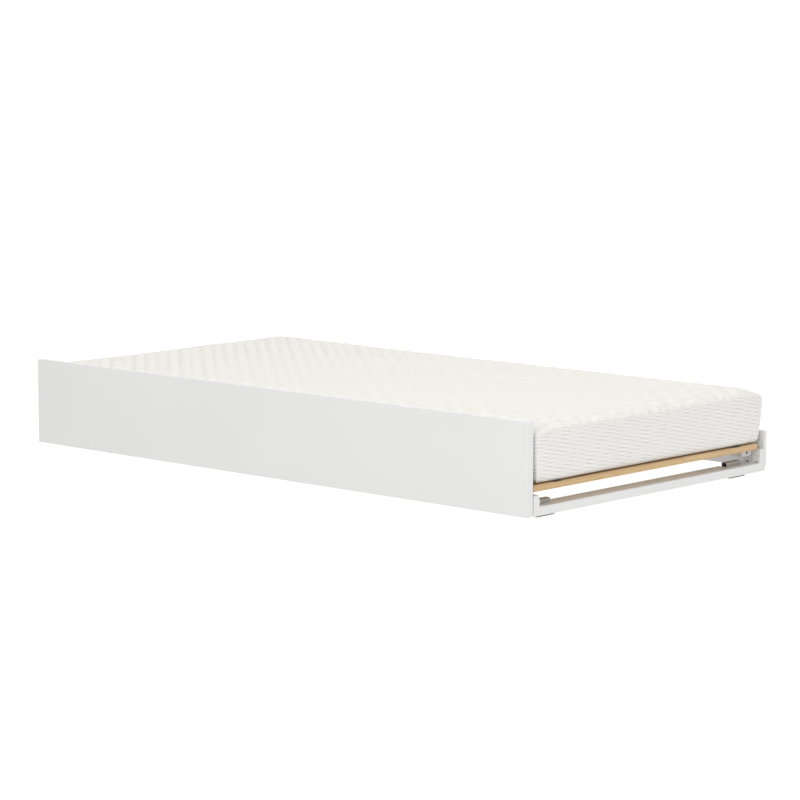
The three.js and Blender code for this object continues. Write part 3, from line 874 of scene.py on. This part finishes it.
def staple_mesh(at):
    """Vertices and faces of a wire staple across +X at a place: two short legs and a crown."""
    half, bend = STAPLE_CROWN / 2, 3 * STAPLE_WIRE
    path = [(-half, -bend), (-half, 0), (half, 0), (half, -bend)]
    vertices, faces = [], []
    for along, up in path:
        for k in range(STAPLE_SIDES):
            turn = 2 * math.pi * k / STAPLE_SIDES
            flat = 0.6 * STAPLE_WIRE * math.sin(turn)
            vertices.append((at[0] + along + flat * (up < 0), at[1] + STAPLE_WIRE * math.cos(turn),
                             at[2] + up + flat * (up == 0)))
    for i in range(len(path) - 1):
        faces += band(i * STAPLE_SIDES, STAPLE_SIDES)
    return vertices, faces


def make_staples(side, middles, y, top):
    """Staples across the strap, two on every slat, joined into one piece."""
    vertices, faces = [], []
    for x in middles:
        for row in STAPLE_ROWS:
            wire, wire_faces = staple_mesh((x, y + row, top))
            faces += [[len(vertices) + k for k in face] for face in wire_faces]
            vertices += wire
    mesh_piece(side + "_strap_staples", vertices, faces, "zinc", "frame")


# ------------------------------------------------------------------ screws and castors

def turned_mesh(profile, sides):
    """Vertices and faces of a profile of (radius, height) turned about +Z."""
    vertices, faces = [], []
    for radius, height in profile:
        for k in range(sides):
            turn = 2 * math.pi * k / sides
            vertices.append(Vector((radius * math.cos(turn), radius * math.sin(turn), height)))
    for i in range(len(profile) - 1):
        faces += band(i * sides, sides)
    return vertices, faces


def turned_piece(name, shape, at, way, slot, body="frame"):
    """A piece made of a turned mesh, whose +Z is turned to the way given and whose origin is at."""
    vertices, faces = shape
    turn = Vector(way).to_track_quat("Z", "Y")
    return mesh_piece(name, [turn @ v + Vector(at) for v in vertices], faces, slot, body)


def screw_mesh():
    """A pan-head screw with a cross recess and a point, its head's underside at the origin."""
    thread = [(SHANK_RADIUS * (THREAD_ROOT if i % 2 else 1.0), -SCREW_LONG + SCREW_POINT + i * THREAD_STEP)
              for i in range(THREAD_STEPS)]
    crown = [(HEAD_RADIUS * r, HEAD_HIGH * math.sqrt(1 - (r * HEAD_DOME) ** 2))
             for r in np.linspace(1, 0.02, 14)]
    profile = [(TIP_RADIUS, -SCREW_LONG), *thread, (SHANK_RADIUS, 0), (HEAD_RADIUS, 0), *crown]
    vertices, faces = turned_mesh(profile, SCREW_SIDES)
    for v in vertices:
        in_arm = min(abs(v.x), abs(v.y)) < RECESS_WIDE and max(abs(v.x), abs(v.y)) < RECESS_LONG
        if v.z > 0.5 * HEAD_HIGH and in_arm:
            v.z -= RECESS_DEEP
    faces.append(list(range(len(vertices) - SCREW_SIDES, len(vertices))))
    return vertices, faces


def replace_screw(node, head_up, slot):
    """A finer screw in the place of a CAD screw that stands upright."""
    low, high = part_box(node)
    z = high[2] - HEAD_HIGH if head_up else low[2] + HEAD_HIGH
    at = ((low[0] + high[0]) / 2, (low[1] + high[1]) / 2, z)
    way = (0, 0, 1) if head_up else (0, 0, -1)
    made = turned_piece("cross_" + node, screw_mesh(), at, way, slot)
    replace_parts(made, node)


def make_screws():
    """The screws of every bracket and castor, and one in each bracket's upright leg."""
    for corner in CORNERS:
        for label in "ab":
            replace_screw(f"bracket_screw_{corner}_{label}", True, "black_steel")
            replace_screw(f"castor_screw_{corner}_{label}", False, "zinc")
        low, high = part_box(f"corner_bracket_{corner}")
        front = corner.startswith("front")
        y = low[1] + BRACKET_THICK if front else high[1] - BRACKET_THICK
        at = ((low[0] + high[0]) / 2, y, low[2] + BRACKET_HOLE_UP)
        inward = (0, 1, 0) if front else (0, -1, 0)
        turned_piece(f"bracket_leg_screw_{corner}", screw_mesh(), at, inward, "white_steel")


def make_ledge_dowels():
    """Dark dowel ends in the ledges' end grain."""
    centre = DOWEL_RADIUS / 80
    profile = [(centre, -DOWEL_DEEP), (DOWEL_RADIUS, -DOWEL_DEEP), (DOWEL_RADIUS, 0),
               (0.8 * DOWEL_RADIUS, DOWEL_PROUD), (centre, 0.7 * DOWEL_PROUD)]
    for side in ("front", "back"):
        low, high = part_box(side + "_slat_ledge")
        for way, x, label in ((-1, low[0], "left"), (1, high[0], "right")):
            at = (x, (low[1] + high[1]) / 2, (low[2] + high[2]) / 2)
            shape = turned_mesh(profile, DOWEL_SIDES)
            turned_piece(f"{side}_ledge_dowel_{label}", shape, at, (way, 0, 0), "black_steel")


def wheel_mesh(radius, half):
    """A moulded wheel about +Z: a crowned tread, and on both faces a dished web with ribs over it."""
    crown = [(radius - TREAD_CROWN * t ** 2, half * t * TREAD_WIDTH) for t in np.linspace(-1, 1, 9)]
    side = [(RIM_INNER * radius, half), (WEB_OUTER * radius, WEB_OUT * half),
            (WEB_INNER * WHEEL_HUB, WEB_OUT * half), (WHEEL_HUB, half), (WHEEL_BORE, half)]
    profile = [(r, -x) for r, x in reversed(side)] + crown + side
    vertices, faces = turned_mesh(profile, WHEEL_SIDES)
    last = (len(profile) - 1) * WHEEL_SIDES
    for k in range(WHEEL_SIDES):
        n = (k + 1) % WHEEL_SIDES
        faces.append([last + k, last + n, n, k])
    for v in vertices:
        on_web = WHEEL_HUB + TINY < math.hypot(v.x, v.y) < WEB_OUTER * radius + TINY
        if on_web and math.cos(WHEEL_RIBS * math.atan2(v.y, v.x)) > RIB_COSINE:
            v.z = math.copysign(RIB_OUT * half, v.z)
    return vertices, faces


def make_wheels():
    for corner in CORNERS:
        low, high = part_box("castor_wheel_" + corner)
        middle = (low + high) / 2
        shape = wheel_mesh(middle[2], (high[0] - low[0]) / 2)
        body = "wheel_" + corner
        made = turned_piece("castor_tread_" + corner, shape, middle, (1, 0, 0), "nylon", body)
        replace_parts(made, "castor_wheel_" + corner)


# ------------------------------------------------------------------ studio

def make_floor():
    mesh = bpy.data.meshes.new("studio_floor")
    half = FLOOR_SIZE / 2
    mesh.from_pydata([(-half, -half, 0), (half, -half, 0), (half, half, 0), (-half, half, 0)], [],
                     [(0, 1, 2, 3)])
    mesh.materials.append(floor_look())
    link_object("studio_floor", mesh)


def make_camera():
    data = bpy.data.cameras.new("camera")
    data.lens = CAMERA_LENS
    data.sensor_width = SENSOR_WIDTH
    data.clip_end = CAMERA_FAR
    camera = link_object("camera", data)
    camera.location = CAMERA_AT
    camera.rotation_euler = (math.radians(90 - CAMERA_DOWN), 0, math.radians(CAMERA_AZIMUTH))
    bpy.context.scene.camera = camera


def area_light(name, at, size, power):
    data = bpy.data.lights.new(name, "AREA")
    data.size = size
    data.energy = power
    light = link_object(name, data)
    light.location = at
    light.rotation_euler = (Vector(at) - Vector(LIGHTS_AIM)).to_track_quat("Z", "Y").to_euler()


def light_sky():
    """A white sky, even but for a brighter stretch along the horizon behind the bed."""
    world = bpy.data.worlds.new("studio")
    world.use_nodes = True
    bpy.context.scene.world = world
    sky = Nodes(world.node_tree)
    way = sky.node("TexCoord").outputs["Generated"]
    cosine = sky.node("VectorMath", {0: way, 1: HORIZON_WAY}, operation="DOT_PRODUCT").outputs["Value"]
    sine = sky.node("SeparateXYZ", {"Vector": way}).outputs[2]
    glow = sky.math("MULTIPLY", sky.span(cosine, *HORIZON_WIDE, 0, 1), sky.span(sine, *HORIZON_HIGH, 0, 1))
    background = world.node_tree.nodes["Background"].inputs
    sky.put(background["Color"], (1, 1, 1, 1))
    sky.put(background["Strength"], sky.span(glow, 0, 1, SKY, HORIZON))


def light_studio():
    light_sky()
    for name, at, size, power in LIGHTS:
        area_light(name, at, size, power)
    view = bpy.context.scene.view_settings
    view.view_transform = "Standard"
    view.look = "None"


make_camera()
light_studio()
make_floor()
dress_cad_nodes()
make_straps()
make_screws()
make_ledge_dowels()
make_wheels()
make_mattress()
